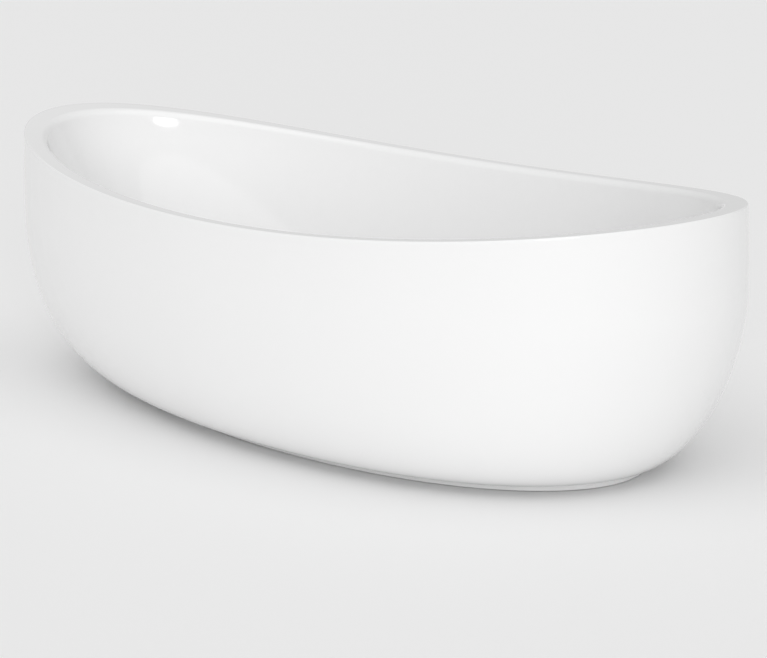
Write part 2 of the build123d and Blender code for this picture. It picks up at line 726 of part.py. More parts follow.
def make_overflow_trim():
    """Gasket, chrome rosette with water slots, screws, knob, and its shaft with the cable drum."""
    disc(CUP_FRONT, -WALL - 1.2, CUP_R + 5, OVERFLOW_HOLE + 1, "overflow_gasket")
    with BuildPart() as rosette:
        with BuildSketch(at_wall(ROSETTE_BACK)):
            Circle(ROSETTE_R)
            with Locations((-SPACER_X, 0), (SPACER_X, 0)):
                Circle(2.2, mode=Mode.SUBTRACT)
            Circle(GUIDE, mode=Mode.SUBTRACT)
            for turn in (45, 90, 135, 225, 270, 315):
                with Locations((SLOT_CIRCLE * cos(turn * pi / 180), SLOT_CIRCLE * sin(turn * pi / 180))):
                    Circle(4, mode=Mode.SUBTRACT)
        extrude(amount=ROSETTE)
        with BuildSketch(at_wall(ROSETTE_FACE)):
            Circle(8)
            Circle(GUIDE, mode=Mode.SUBTRACT)
        extrude(amount=4)
    save(rosette, "overflow_rosette")
    with BuildPart() as screws:
        for side in (-SPACER_X, SPACER_X):
            with BuildSketch(at_wall(ROSETTE_FACE)):
                with Locations((side, 0)):
                    Circle(4)
            extrude(amount=1.6)
            with BuildSketch(at_wall(ROSETTE_FACE)):
                with Locations((side, 0)):
                    Circle(1.95)
            extrude(amount=-30)
    save(screws, "overflow_screws")
    with BuildPart() as knob:
        with BuildSketch(at_wall(KNOB_BACK)):
            Circle(KNOB_R)
        extrude(amount=KNOB)
        front = knob.edges().group_by(lambda edge: (edge.center() - overflow.origin).dot(overflow.z_dir))[-1]
        fillet(front, 4)
        with BuildSketch(at_wall(KNOB_BACK)):
            Circle(KNOB_R - KNOB_WALL)
        extrude(amount=9, mode=Mode.SUBTRACT)
        with BuildSketch(at_wall(HUB_BACK)):
            Circle(8)
        extrude(amount=8)
        with BuildSketch(at_wall(HUB_BACK)):
            Circle(STEM + 0.02)
        extrude(amount=6.4, mode=Mode.SUBTRACT)
        with BuildSketch(at_wall(KNOB_BACK)):
            for turn in range(0, 360, 30):
                with Locations((FLUTE_CIRCLE * cos(turn * pi / 180), FLUTE_CIRCLE * sin(turn * pi / 180))):
                    Circle(3)
        extrude(amount=KNOB, mode=Mode.SUBTRACT)
    save(knob, "overflow_knob")
    with BuildPart() as shaft:
        with BuildSketch(at_wall(SHAFT_BACK)):
            Circle(STEM)
        extrude(amount=44)
        with BuildSketch(at_wall(SHAFT_BACK)):
            Circle(DRUM_R)
        extrude(amount=7)
    save(shaft, "knob_shaft")


# ---- hose and cable between them -----------------------------------------------------------------
def make_run(x, outer, inner, points, radii, label):
    """A tube of straight runs and tangent arcs that starts straight down."""
    with BuildPart() as tube:
        with BuildLine():
            path = FilletPolyline(*[(x, y, z) for y, z in points], radius=radii)
        with BuildSketch(Plane(origin=path @ 0, z_dir=path % 0)):
            Circle(outer)
            if inner:
                Circle(inner, mode=Mode.SUBTRACT)
        sweep(path=path)
    save(tube, label)


def make_hose_and_cable():
    """The overflow hose and the pull cable, side by side from the overflow to the waste body."""
    route = [
        (drop_y, HOSE_TOP + 14),
        (drop_y, 230.0),
        (-360.0, PIPE_Z),
        (-46.0, PIPE_Z),
    ]
    make_run(STATION, HOSE_R, HOSE_R - 2, route, [250, 110], "overflow_hose")
    cable = [(drop_y, HOSE_TOP + 10), *route[1:3], (-42.0, PIPE_Z)]
    make_run(CABLE_X, CABLE_R, 0, cable, [250, 110], "pull_cable")


make_basin()
make_skirt()
make_ring()
make_base_board()
make_cross_member(MEMBER_XS[0], "cross_member_head")
make_cross_member(MEMBER_XS[1], "cross_member_foot")
make_rail(-RAIL_Y, "rail_near")
make_rail(RAIL_Y, "rail_far")
make_board_screws()
for number, (foot_x, foot_y) in enumerate(FEET, 1):
    make_foot(foot_x, foot_y, number)
    make_bracket(foot_x, foot_y, number)
make_foot_washers()
make_bracket_screws()
make_waste_flange()
flat_ring(DRAIN_R + 1, 34, BASIN_FLOOR, BASIN_FLOOR + TOP_GASKET, "waste_gasket_top")
flat_ring(DRAIN_R + 1, 36, BODY_TOP, BOARD_TOP, "waste_gasket_bottom")
make_stopper()
make_waste_body()
make_lever()
make_trap()
make_overflow_body()
make_overflow_trim()
make_hose_and_cable()
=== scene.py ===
"""Looks of the freestanding egg-shaped bathtub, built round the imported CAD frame.
Metres; +X to the foot end, +Z up, the overflow on the -Y side."""
import json
import math

import bmesh
import bpy
import numpy as np
from mathutils import Matrix, Vector


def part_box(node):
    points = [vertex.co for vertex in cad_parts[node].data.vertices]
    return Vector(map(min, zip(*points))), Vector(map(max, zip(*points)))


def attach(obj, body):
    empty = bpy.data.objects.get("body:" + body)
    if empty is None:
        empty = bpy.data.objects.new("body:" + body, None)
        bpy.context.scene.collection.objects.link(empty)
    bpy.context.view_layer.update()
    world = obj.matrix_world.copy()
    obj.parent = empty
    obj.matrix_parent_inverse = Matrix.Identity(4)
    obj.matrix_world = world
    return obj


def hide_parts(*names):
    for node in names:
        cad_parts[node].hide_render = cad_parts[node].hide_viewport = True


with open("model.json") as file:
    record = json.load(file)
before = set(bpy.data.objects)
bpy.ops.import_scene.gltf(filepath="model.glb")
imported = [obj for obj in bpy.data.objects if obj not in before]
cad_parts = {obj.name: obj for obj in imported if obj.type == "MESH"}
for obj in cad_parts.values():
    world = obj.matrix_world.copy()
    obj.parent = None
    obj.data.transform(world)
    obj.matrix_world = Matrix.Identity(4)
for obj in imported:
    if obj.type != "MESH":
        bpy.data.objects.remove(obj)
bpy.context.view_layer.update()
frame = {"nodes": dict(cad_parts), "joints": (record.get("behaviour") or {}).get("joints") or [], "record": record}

# ---- shell: the same egg as the CAD, in metres ---------------------------------------------------
RING_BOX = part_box("plinth_ring")
LENGTH = 1.9
WIDTH = 0.95
STATION = 0.125          # x of the widest place
BULGE = 0.08             # how much the egg's sides fill out towards its ends
RIM_HEAD = 0.566
RIM_FOOT = 0.543
RIM_MIDDLE = 0.485
RIM_LINEAR = 0.4         # share of the rim's tilt that is straight, the rest is cubic
TOP = 0.64               # height where the skins' formulas end, above the rim
DECK = 0.006             # rim band
WALL = 0.006             # basin laminate
SKIRT = 0.005            # skirt laminate
FLANGE = 0.035           # width of the skirt's inward flange
BASE_HEAD = 0.650        # reach of the skirt's foot from the widest station, towards the head
BASE_FOOT = 0.645
BASE_SIDE = 0.333
FLOOR_END = 0.500        # reach of the basin's floor towards either end
FLOOR_SIDE = 0.225
SKIRT_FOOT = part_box("outer_skirt")[0].z
BASIN_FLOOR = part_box("basin")[0].z + WALL
RING_INSET = 0.011       # how far the plinth ring stands back
RING_WIDE = 0.018
EDGE = 0.0034            # rounding of the rim's outer edge
ROLL = 0.014             # roll from the rim band into the basin
AROUND = 256             # columns round a shell
ROUND_ARC = 0.552        # handle length that makes a cubic curve follow a quarter circle


def rim_height(x):
    """Height of the rim line: a saddle, higher at the head than at the foot."""
    s = x / (LENGTH / 2)
    mean_end = (RIM_HEAD + RIM_FOOT) / 2
    tilt = (RIM_FOOT - RIM_HEAD) / 2
    return RIM_MIDDLE + (mean_end - RIM_MIDDLE) * s**2 + tilt * (RIM_LINEAR * s + (1 - RIM_LINEAR) * s**3)


def reach(z, base, full, power, floor, belly, tuck):
    """Distance from the widest station to a wall at height z."""
    rise = np.clip((z - floor) / (belly - floor), 0, 1)
    over = np.clip((z - belly) / (TOP - belly), 0, None)
    return base + (full - base) * (1 - (1 - rise) ** power) ** (1 / power) - tuck * over**2


def egg(turn, head, foot, side):
    """A smooth egg, widest at STATION; turn 0 points to the foot end."""
    middle = STATION + (foot - head) / 2
    x = middle + (foot + head) / 2 * np.cos(turn) + (head - foot) / 2 * np.sin(turn) ** 2
    y = side * np.sin(turn) * (1 + BULGE * np.cos(turn) ** 2)
    return x, y


def outer_point(turn, z, inset=0.0):
    """Outer skin of the tub, or its inner face when inset."""
    floor = SKIRT_FOOT + inset
    head = reach(z, BASE_HEAD - inset, LENGTH / 2 + STATION - inset, 2.6, floor, 0.405, 0.019)
    foot = reach(z, BASE_FOOT - inset, LENGTH / 2 - STATION - inset, 1.6, floor, 0.355, 0.017)
    side = reach(z, BASE_SIDE - inset, WIDTH / 2 - inset, 2.15, floor, 0.370, 0.004)
    x, y = egg(turn, head, foot, side)
    return np.stack([x, y, z + 0 * x], -1)


def inner_point(turn, z, wall=0.0):
    """Inner skin of the basin, or its back when wall is given."""
    floor = BASIN_FLOOR - wall
    head = reach(z, FLOOR_END + wall, 1.012 + wall, 1.6, floor, 0.600, 0)
    foot = reach(z, FLOOR_END + wall, 0.762 + wall, 1.8, floor, 0.600, 0)
    side = reach(z, FLOOR_SIDE + wall, 0.449 + wall, 1.7, floor, 0.600, 0)
    x, y = egg(turn, head, foot, side)
    return np.stack([x, y, z + 0 * x], -1)


def on_rim(point_at, turn, drop=0.0, **how):
    """Where a skin meets the rim line, lowered by drop."""
    z = np.full_like(turn, RIM_MIDDLE)
    for _ in range(12):  # settles, since the rim's height changes slowly along the tub
        z = rim_height(point_at(turn, z, **how)[..., 0]) - drop
    return point_at(turn, z, **how)


# ---- meshes --------------------------------------------------------------------------------------
def add_mesh(name, points, faces, sharp=40.0):
    """A smooth-shaded object whose edges stay hard where the faces turn by more than sharp degrees."""
    mesh = bpy.data.meshes.new(name)
    mesh.from_pydata([tuple(p) for p in points], [], faces)
    mesh.validate()
    mesh.shade_smooth()
    mesh.set_sharp_from_angle(angle=math.radians(sharp))
    piece = bpy.data.objects.new(name, mesh)
    bpy.context.scene.collection.objects.link(piece)
    return piece


def closed_skin(name, grid, sharp=40.0):
    """A closed shell from grid[round, along], which wraps both ways."""
    rounds, along, _ = grid.shape
    index = np.arange(rounds * along).reshape(rounds, along)
    a, b = index, np.roll(index, -1, 0)
    c, d = np.roll(b, -1, 1), np.roll(a, -1, 1)
    faces = np.stack([a, b, c, d], -1).reshape(-1, 4).tolist()
    return add_mesh(name, grid.reshape(-1, 3), faces, sharp)


def side_faces(rounds, along):
    """Point numbers of a grid[round, along] and its four-sided faces; it wraps round, not along."""
    index = np.arange(rounds * along).reshape(rounds, along)
    onward = np.roll(index, -1, 0)
    faces = np.stack([index[:, :-1], onward[:, :-1], onward[:, 1:], index[:, 1:]], -1)
    return index, faces.reshape(-1, 4).tolist()


def capped_skin(name, grid, sharp):
    """A solid rod from grid[round, along], closed by one flat face at each end."""
    index, faces = side_faces(*grid.shape[:2])
    faces.append(tuple(int(i) for i in index[::-1, 0]))
    faces.append(tuple(int(i) for i in index[:, -1]))
    return add_mesh(name, grid.reshape(-1, 3), faces, sharp)


def corner(before, at, after, radius_in, radius_out, count=8):
    """Points that round the corner `at` between two neighbours, one cubic curve per column."""
    into = before - at
    out = after - at
    start = at + into / np.linalg.norm(into, axis=-1, keepdims=True) * radius_in
    end = at + out / np.linalg.norm(out, axis=-1, keepdims=True) * radius_out
    one = start + (at - start) * ROUND_ARC
    two = end + (at - end) * ROUND_ARC
    share = np.linspace(0, 1, count)
    return [
        (1 - t) ** 3 * start + 3 * t * (1 - t) ** 2 * one + 3 * t * t * (1 - t) * two + t**3 * end for t in share
    ]


def between(start, end, count, crowd=1.0):
    """Points from start to end, both left out."""
    return [start + (end - start) * ((i + 1) / (count + 1)) ** crowd for i in range(count)]


def wall_points(point_at, turn, low, high, count, crowd=2.2, **how):
    """Points up a skin from height low to height high, crowded at the low end."""
    return [point_at(turn, low + (high - low) * (i / (count - 1)) ** crowd, **how) for i in range(count)]


def turns(count=AROUND):
    """Evenly spaced angles round the full circle."""
    return np.linspace(0, 2 * math.pi, count, endpoint=False)


def base_egg(turn, inset, z):
    """The outline of the skirt's foot, inset, at height z."""
    x, y = egg(turn, BASE_HEAD - inset, BASE_FOOT - inset, BASE_SIDE - inset)
    return np.stack([x, y, np.full_like(x, z)], -1)


def make_skirt():
    """Outer shell with its flange turned inwards at the foot."""
    turn = turns()
    top = on_rim(outer_point, turn, DECK)
    inner_top = on_rim(outer_point, turn, DECK, inset=SKIRT)
    foot = outer_point(turn, np.full_like(turn, SKIRT_FOOT))
    lip_low = base_egg(turn, FLANGE, SKIRT_FOOT)
    lip_high = lip_low + [0, 0, SKIRT]
    rows = wall_points(outer_point, turn, SKIRT_FOOT, top[:, 2], 96)
    rows += wall_points(outer_point, turn, SKIRT_FOOT + SKIRT, inner_top[:, 2], 48, inset=SKIRT)[::-1]
    rows += [lip_high, lip_low]
    rows += between(lip_low, foot, 3)
    return closed_skin("outer_skirt_skin", np.stack(rows, 1))


def make_basin():
    """Basin with its rim band in one skin: drain hole, floor, wall, roll, rim, and the back of the wall."""
    turn = turns()
    outer_low = on_rim(outer_point, turn, DECK)
    outer_top = on_rim(outer_point, turn)
    inner_top = on_rim(inner_point, turn)
    below_roll = inner_point(turn, inner_top[:, 2] - ROLL * 2)
    hole_radius = 0.026
    centre = middle_of("waste_flange")
    hole_x = centre.x + hole_radius * np.cos(turn)
    hole_y = centre.y + hole_radius * np.sin(turn)
    hole = np.stack([hole_x, hole_y, np.full_like(turn, BASIN_FLOOR)], -1)
    floor_edge = inner_point(turn, np.full_like(turn, BASIN_FLOOR))
    rows = [hole] + between(hole, floor_edge, 24)
    rows += wall_points(inner_point, turn, BASIN_FLOOR, inner_top[:, 2] - ROLL, 96)[:-1]
    rows += corner(below_roll, inner_top, outer_top, ROLL, ROLL, 14)
    rows += between(rows[-1], outer_top + (inner_top - outer_top) * 0.12, 6)
    rows += corner(inner_top, outer_top, outer_low, EDGE, EDGE, 10)
    rows += [outer_low]
    back_top = on_rim(inner_point, turn, DECK, wall=WALL)
    rows += between(outer_low, back_top, 3)
    rows += wall_points(inner_point, turn, BASIN_FLOOR - WALL, back_top[:, 2], 48, wall=WALL)[::-1]
    hole_low = hole - [0, 0, WALL]
    rows += between(rows[-1], hole_low, 6) + [hole_low]
    return closed_skin("basin_skin", np.stack(rows[::-1], 1))


def make_ring():
    """Plinth ring, set back under the skirt, with softened lower edges."""
    turn = turns()
    low, high = RING_BOX[0].z, RING_BOX[1].z
    soft = 0.002
    out_low, out_high = base_egg(turn, RING_INSET, low), base_egg(turn, RING_INSET, high)
    in_low = base_egg(turn, RING_INSET + RING_WIDE, low)
    in_high = base_egg(turn, RING_INSET + RING_WIDE, high)
    rows = corner(in_low, out_low, out_high, soft, soft, 6)
    rows += between(rows[-1], out_high, 2) + [out_high, in_high]
    rows += corner(in_high, in_low, out_low, soft, soft, 6)
    return closed_skin("plinth_ring_skin", np.stack(rows, 1))


# ---- turned, threaded and bent pieces ------------------------------------------------------------
def placed(grid, place):
    """Points of a grid, moved by a rotation and a shift."""
    return grid @ np.array(place.to_3x3()).T + np.array(place.translation)


def rounded(outline, steps=5):
    """Points of a (radius, height, rounding) outline with each rounded corner drawn as a curve."""
    spots = [np.array(point[:2], float) for point in outline]
    result = []
    for i, (_, _, rounding) in enumerate(outline):
        at, before, after = spots[i], spots[i - 1], spots[(i + 1) % len(spots)]
        if rounding <= 0:
            result.append(at)
            continue
        result += corner(before, at, after, rounding, rounding, steps)
    return np.array(result)


def lathe(name, outline, place, shape=None, around=96, sharp=35.0):
    """A turned piece. A solid's outline starts and ends on the axis; a ring's never touches it.
    shape(turn, radius, height) may bend the round into flutes or flats."""
    points = rounded(outline)
    turn = turns(around)[:, None]
    radius = np.broadcast_to(points[:, 0], (around, len(points))).copy()
    height = np.broadcast_to(points[:, 1], (around, len(points))).copy()
    if shape:
        radius, height = shape(turn, radius, height)
    grid = placed(np.stack([radius * np.cos(turn), radius * np.sin(turn), height], -1), place)
    if outline[0][0] > 0:
        return closed_skin(name, grid, sharp)
    sides, poles = grid[:, 1:-1], grid[0, [0, -1]]
    index, faces = side_faces(*sides.shape[:2])
    first, last = index.size, index.size + 1
    for i in range(around):
        j = (i + 1) % around
        faces.append((first, int(index[j, 0]), int(index[i, 0])))
        faces.append((last, int(index[i, -1]), int(index[j, -1])))
    return add_mesh(name, np.concatenate([sides.reshape(-1, 3), poles]), faces, sharp)


def hexagon(across, bevel_from):
    """Turns a round of any radius past bevel_from into a hexagon with chamfered corners."""

    def shape(turn, radius, height):
        to_flat = (turn + math.pi / 6) % (math.pi / 3) - math.pi / 6
        flat = across / 2 / np.cos(to_flat)
        outside = radius > bevel_from
        middle = (height.max() + height.min()) / 2
        lowered = (flat - bevel_from) * math.tan(math.radians(30))
        height = np.where(outside & (height > middle), height - lowered, height)
        height = np.where(outside & (height < middle), height + lowered, height)
        return np.where(outside, flat, radius), height

    return shape


def flutes(count, depth, from_radius):
    """Cuts soft flutes into whatever lies outside from_radius."""

    def shape(turn, radius, height):
        share = np.clip((radius - from_radius) / 0.002, 0, 1)
        return radius - share * depth * (0.5 + 0.5 * np.cos(turn * count)) ** 3, height

    return shape


def threaded(name, place, low, high, radius, pitch, depth, around=40):
    """A threaded stem with chamfered ends; the helix starts a chamfer inside each end."""
    points_per_turn = 8
    count = int((high - low) / pitch * points_per_turn)
    heights = np.linspace(low, high, count)
    turn = turns(around)[:, None]
    wave = np.abs(((heights[None, :] / pitch - turn / (2 * math.pi)) % 1.0) - 0.5) * 2
    ends = np.clip(np.minimum(heights - low, high - heights) / depth / 1.5, 0, 1)[None, :]
    spread = radius - depth * wave - (1 - ends) * depth * 0.9
    grid = np.stack([spread * np.cos(turn), spread * np.sin(turn), heights[None, :] + 0 * turn], -1)
    return capped_skin(name, placed(grid, place), 60.0)


def route(points, radii, step=0.002):
    """Evenly spaced points along straight runs joined by tangent arcs."""
    points = [np.array(p, float) for p in points]
    pieces = [points[0]]
    for before, at, after, radius in zip(points, points[1:], points[2:], radii):
        into = (at - before) / np.linalg.norm(at - before)
        out = (after - at) / np.linalg.norm(after - at)
        turn = math.acos(float(np.clip(into @ out, -1, 1)))
        back = radius * math.tan(turn / 2)
        start = at - into * back
        side = out - into * math.cos(turn)
        side /= np.linalg.norm(side)
        centre = start + side * radius
        for share in np.linspace(0, 1, max(4, int(turn * radius / step))):
            swing = turn * share
            pieces.append(centre + radius * (into * math.sin(swing) - side * math.cos(swing)))
    pieces.append(points[-1])
    pieces = np.array(pieces)
    lengths = np.concatenate([[0], np.cumsum(np.linalg.norm(np.diff(pieces, axis=0), axis=1))])
    even = np.linspace(0, lengths[-1], int(lengths[-1] / step) + 1)
    return np.stack([np.interp(even, lengths, pieces[:, k]) for k in range(3)], -1), even


def tube(name, path, along, radius_at, bore=0.0, around=32, sharp=60.0):
    """A tube in a plane of constant x that follows a path; radius_at(distance) gives its outer radius."""
    tangent = np.gradient(path, axis=0)
    tangent /= np.linalg.norm(tangent, axis=1, keepdims=True)
    first = np.broadcast_to(np.array([1.0, 0, 0]), tangent.shape)
    second = np.cross(tangent, first)
    turn = turns(around)[:, None, None]
    spin = first * np.cos(turn) + second * np.sin(turn)
    outer = path + spin * radius_at(along)[None, :, None]
    if bore:
        inner = (path + spin * bore)[:, ::-1]
        return closed_skin(name, np.concatenate([outer, inner], 1), sharp)
    return capped_skin(name, outer, sharp)


# ---- shader maths --------------------------------------------------------------------------------
class Signal:
    """A number that varies over a surface; arithmetic on it adds Math nodes."""

    def __init__(self, finish, socket):
        self.finish = finish
        self.socket = socket

    def math(self, operation, first, second):
        return self.finish.signal("ShaderNodeMath", {"operation": operation}, {0: first, 1: second})

    def __add__(self, other):
        return self.math("ADD", self, other)

    def __rsub__(self, other):
        return self.math("SUBTRACT", other, self)

    def __mul__(self, other):
        return self.math("MULTIPLY", self, other)

    def __truediv__(self, other):
        return self.math("DIVIDE", self, other)

    __radd__ = __add__
    __rmul__ = __mul__

    def over(self, low, high):
        """0 below low, 1 above high, smooth between."""
        settings = {"interpolation_type": "SMOOTHSTEP"}
        return self.finish.signal("ShaderNodeMapRange", settings, {0: self, 1: low, 2: high})


class Finish:
    """One surface finish: a Principled shader and the nodes that drive it."""

    def __init__(self, name, **fixed):
        self.material = bpy.data.materials.new(name)
        self.material.use_nodes = True
        self.nodes = self.material.node_tree.nodes
        self.links = self.material.node_tree.links
        self.shader = self.nodes["Principled BSDF"]
        for socket, value in fixed.items():
            self.shader.inputs[socket.replace("_", " ")].default_value = value

    def node(self, kind, settings=None, values=None):
        """Adds a node: its settings first, then the values or links of its sockets."""
        made = self.nodes.new(kind)
        for setting, value in (settings or {}).items():
            if setting == "stops":
                self.set_stops(made.color_ramp, value)
            else:
                setattr(made, setting, value)
        for socket, value in (values or {}).items():
            if isinstance(value, Signal):
                value = value.socket
            if isinstance(value, bpy.types.NodeSocket):
                self.links.new(value, made.inputs[socket])
            else:
                made.inputs[socket].default_value = value
        return made

    def set_stops(self, ramp, stops):
        """Fills a colour ramp, which starts out with two stops."""
        for extra in range(len(stops) - 2):
            ramp.elements.new(0.5)
        for element, (place, shade) in zip(ramp.elements, stops):
            element.position = place
            element.color = (*shade, 1)

    def signal(self, kind, settings=None, values=None, output=0):
        return Signal(self, self.node(kind, settings, values).outputs[output])

    def place(self, scale):
        """Where a point lies on the piece, in metres, stretched by scale."""
        source = self.node("ShaderNodeTexCoord").outputs["Object"]
        values = {"Vector": source, "Scale": scale}
        return self.node("ShaderNodeMapping", None, values).outputs[0]

    def noise(self, scale, detail=3.0, roughness=0.5, stretch=(1, 1, 1)):
        values = {"Vector": self.place(stretch), "Scale": scale, "Detail": detail, "Roughness": roughness}
        return self.signal("ShaderNodeTexNoise", None, values)

    def cells(self, scale, stretch=(1, 1, 1), output="Distance"):
        values = {"Vector": self.place(stretch), "Scale": scale}
        return self.signal("ShaderNodeTexVoronoi", {"feature": "F1"}, values, output)

    def shades(self, amount, *stops):
        """A colour from a ramp of (position, colour) stops."""
        return self.node("ShaderNodeValToRGB", {"stops": stops}, {0: amount}).outputs[0]

    def mix(self, amount, first, second):
        values = {0: amount, 6: first, 7: second}
        return self.node("ShaderNodeMix", {"data_type": "RGBA"}, values).outputs[2]

    def feed(self, socket, value):
        if isinstance(value, Signal):
            value = value.socket
        self.links.new(value, self.shader.inputs[socket])

    def bump(self, height, distance):
        """Relief of a height from 0 to 1, distance metres deep."""
        values = {"Height": height, "Distance": distance, "Strength": 1.0}
        self.feed("Normal", self.node("ShaderNodeBump", None, values).outputs[0])


def grey(level):
    """A neutral colour."""
    return (level, level, level)


def acrylic(name, tone, roughness):
    """Polished white sanitary acrylic: faint mottling, very soft waviness and wipe marks."""
    finish = Finish(name, IOR=1.49, Coat_Roughness=0.03, Coat_IOR=1.5, Coat_Weight=0.25)
    mottle = finish.noise(1.6, 2.0)
    low, high = grey(tone * 0.988), grey(tone * 1.006)
    finish.feed("Base Color", finish.shades(mottle, (0.3, low), (0.7, high)))
    wipes = finish.noise(5.0, 4.0, 0.6, (1, 1, 6))
    haze = finish.noise(38.0, 2.0)
    finish.feed("Roughness", roughness + wipes.over(0.45, 0.75) * 0.03 + haze * 0.012)
    peel = finish.noise(45.0, 1.0) + finish.noise(9.0, 1.0) * 2
    finish.bump(peel / 3, 0.0002)
    return finish.material


def chrome(name):
    """Polished chrome with faint rub marks and water spots."""
    finish = Finish(name, Metallic=1.0)
    cloud = finish.noise(60.0, 3.0)
    finish.feed("Base Color", finish.shades(cloud, (0.3, grey(0.80)), (0.7, grey(0.88))))
    rubs = finish.noise(260.0, 2.0, 0.6, (1, 1, 0.1))
    spots = finish.cells(420.0)
    finish.feed("Roughness", 0.045 + rubs.over(0.55, 0.8) * 0.06 + (1 - spots.over(0.1, 0.22)) * 0.03)
    finish.bump(rubs, 0.000004)
    return finish.material


def zinc(name, tone=0.62, grain=700.0):
    """Bright zinc plate: patchy passivation tint, fine grain and scuffs."""
    finish = Finish(name, Metallic=1.0)
    patches = finish.noise(55.0, 3.0)
    bluish = (tone * 0.92, tone * 0.95, tone)
    yellowish = (tone * 1.12, tone * 1.1, tone * 1.02)
    finish.feed("Base Color", finish.shades(patches, (0.3, bluish), (0.7, yellowish)))
    flakes = finish.cells(grain, output="Color")
    finish.feed("Roughness", 0.30 + flakes * 0.10 + patches * 0.06)
    finish.bump(finish.noise(grain * 1.4, 2.0), 0.00001)
    return finish.material


def powder_coat(name, tone):
    """Grey powder coat with its fine orange peel and a little dust in patches."""
    finish = Finish(name, Coat_Weight=0.1)
    speck = finish.noise(240.0, 2.0)
    dust = finish.noise(14.0, 4.0, 0.6)
    colour = finish.shades(speck, (0.35, grey(tone * 0.93)), (0.65, grey(tone * 1.05)))
    finish.feed("Base Color", finish.mix(dust.over(0.55, 0.8) * 0.25, colour, (0.66, 0.64, 0.60, 1)))
    finish.feed("Roughness", 0.42 + speck * 0.08 + dust * 0.06)
    finish.bump(finish.noise(620.0, 1.0), 0.00004)
    return finish.material


def moulded(name, colour, roughness=0.38):
    """Injection-moulded plastic: soft flow marks and a spark-eroded grain."""
    finish = Finish(name, IOR=1.5)
    flow = finish.noise(22.0, 3.0, 0.5, (1, 1, 3))
    dark = tuple(c * 0.94 for c in colour)
    light = tuple(min(1, c * 1.04) for c in colour)
    finish.feed("Base Color", finish.shades(flow, (0.35, dark), (0.65, light)))
    pits = finish.noise(900.0, 2.0)
    finish.feed("Roughness", roughness + flow * 0.06 + pits * 0.06)
    finish.bump(pits, 0.00002)
    return finish.material


def rubber(name, tone):
    """Dark moulded rubber with bloom and a dusty grain."""
    finish = Finish(name, IOR=1.5)
    bloom = finish.noise(70.0, 4.0, 0.6)
    finish.feed("Base Color", finish.shades(bloom, (0.35, grey(tone)), (0.75, grey(tone * 1.9))))
    grain = finish.noise(1500.0, 2.0)
    finish.feed("Roughness", 0.62 + bloom * 0.12 + grain * 0.06)
    finish.bump(grain, 0.00003)
    return finish.material


def turned_brass(name):
    """Brass with fine rings left by the lathe."""
    finish = Finish(name, Metallic=1.0)
    tarnish = finish.noise(90.0, 3.0)
    finish.feed("Base Color", finish.shades(tarnish, (0.3, (0.60, 0.43, 0.17)), (0.7, (0.80, 0.62, 0.30))))
    rings = finish.noise(2400.0, 1.0, 0.5, (0.02, 0.02, 1))
    finish.feed("Roughness", 0.22 + rings * 0.12 + tarnish * 0.06)
    finish.bump(rings, 0.000008)
    return finish.material


def sealed_board(name):
    """Chipboard under a thin glaze of resin."""
    finish = Finish(name, Coat_Weight=0.5, Coat_Roughness=0.25)
    chips = finish.cells(140.0, stretch=(1, 0.45, 1), output="Color")
    flecks = finish.noise(420.0, 3.0, 0.6, (0.5, 1, 1))
    brown, tan, straw = (0.42, 0.31, 0.18), (0.60, 0.47, 0.30), (0.72, 0.60, 0.42)
    base = finish.shades(chips, (0.1, brown), (0.5, tan), (0.9, straw))
    finish.feed("Base Color", finish.mix(flecks.over(0.55, 0.7) * 0.5, base, (0.34, 0.24, 0.13, 1)))
    pools = finish.noise(12.0, 2.0)
    finish.feed("Roughness", 0.30 + pools * 0.20)
    finish.bump(chips * 0.6 + flecks * 0.4, 0.0002)
    return finish.material


# ---- where the hidden pieces are -----------------------------------------------------------------
DRAIN_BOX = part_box("waste_flange")
DRAIN_X = (DRAIN_BOX[0].x + DRAIN_BOX[1].x) / 2
FEET = (1, 2, 3, 4)
THREAD_PITCH = 0.00175   # M12 feet
ACROSS_FLATS = 0.019
BEND_TOP, BEND_Y = 0.230, -0.360
BEND_RADII = (0.250, 0.110)
KNOB = next(joint for joint in frame["joints"] if joint["name"] == "knob_turn")
KNOB_AXIS = Vector(KNOB["axis"])


def at_drain():
    """The drain's frame: origin on the floor under the drain, Z up."""
    return Matrix.Translation((DRAIN_X, 0, 0))


def at_overflow():
    """The overflow's frame: origin on the wall, X along the tub, Z out of the wall into the basin."""
    along = Vector((1, 0, 0))
    down = KNOB_AXIS.cross(along)
    turn = Matrix((along, down, KNOB_AXIS)).transposed().to_4x4()
    return Matrix.Translation(KNOB["pos_m"]) @ turn


def middle_of(node):
    low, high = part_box(node)
    return (low + high) / 2


def make_stopper_cap():
    """Low domed cap with a rolled edge."""
    low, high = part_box("stopper_cap")
    under, top = low.z, high.z
    outline = [
        (0, under, 0), (0.0305, under, 0.0006), (0.0305, under + 0.0016, 0.0008),
        (0.0268, top - 0.0012, 0.0025), (0.012, top - 0.0004, 0.004), (0, top - 0.0003, 0),
    ]
    return lathe("stopper_cap_domed", outline, at_drain())


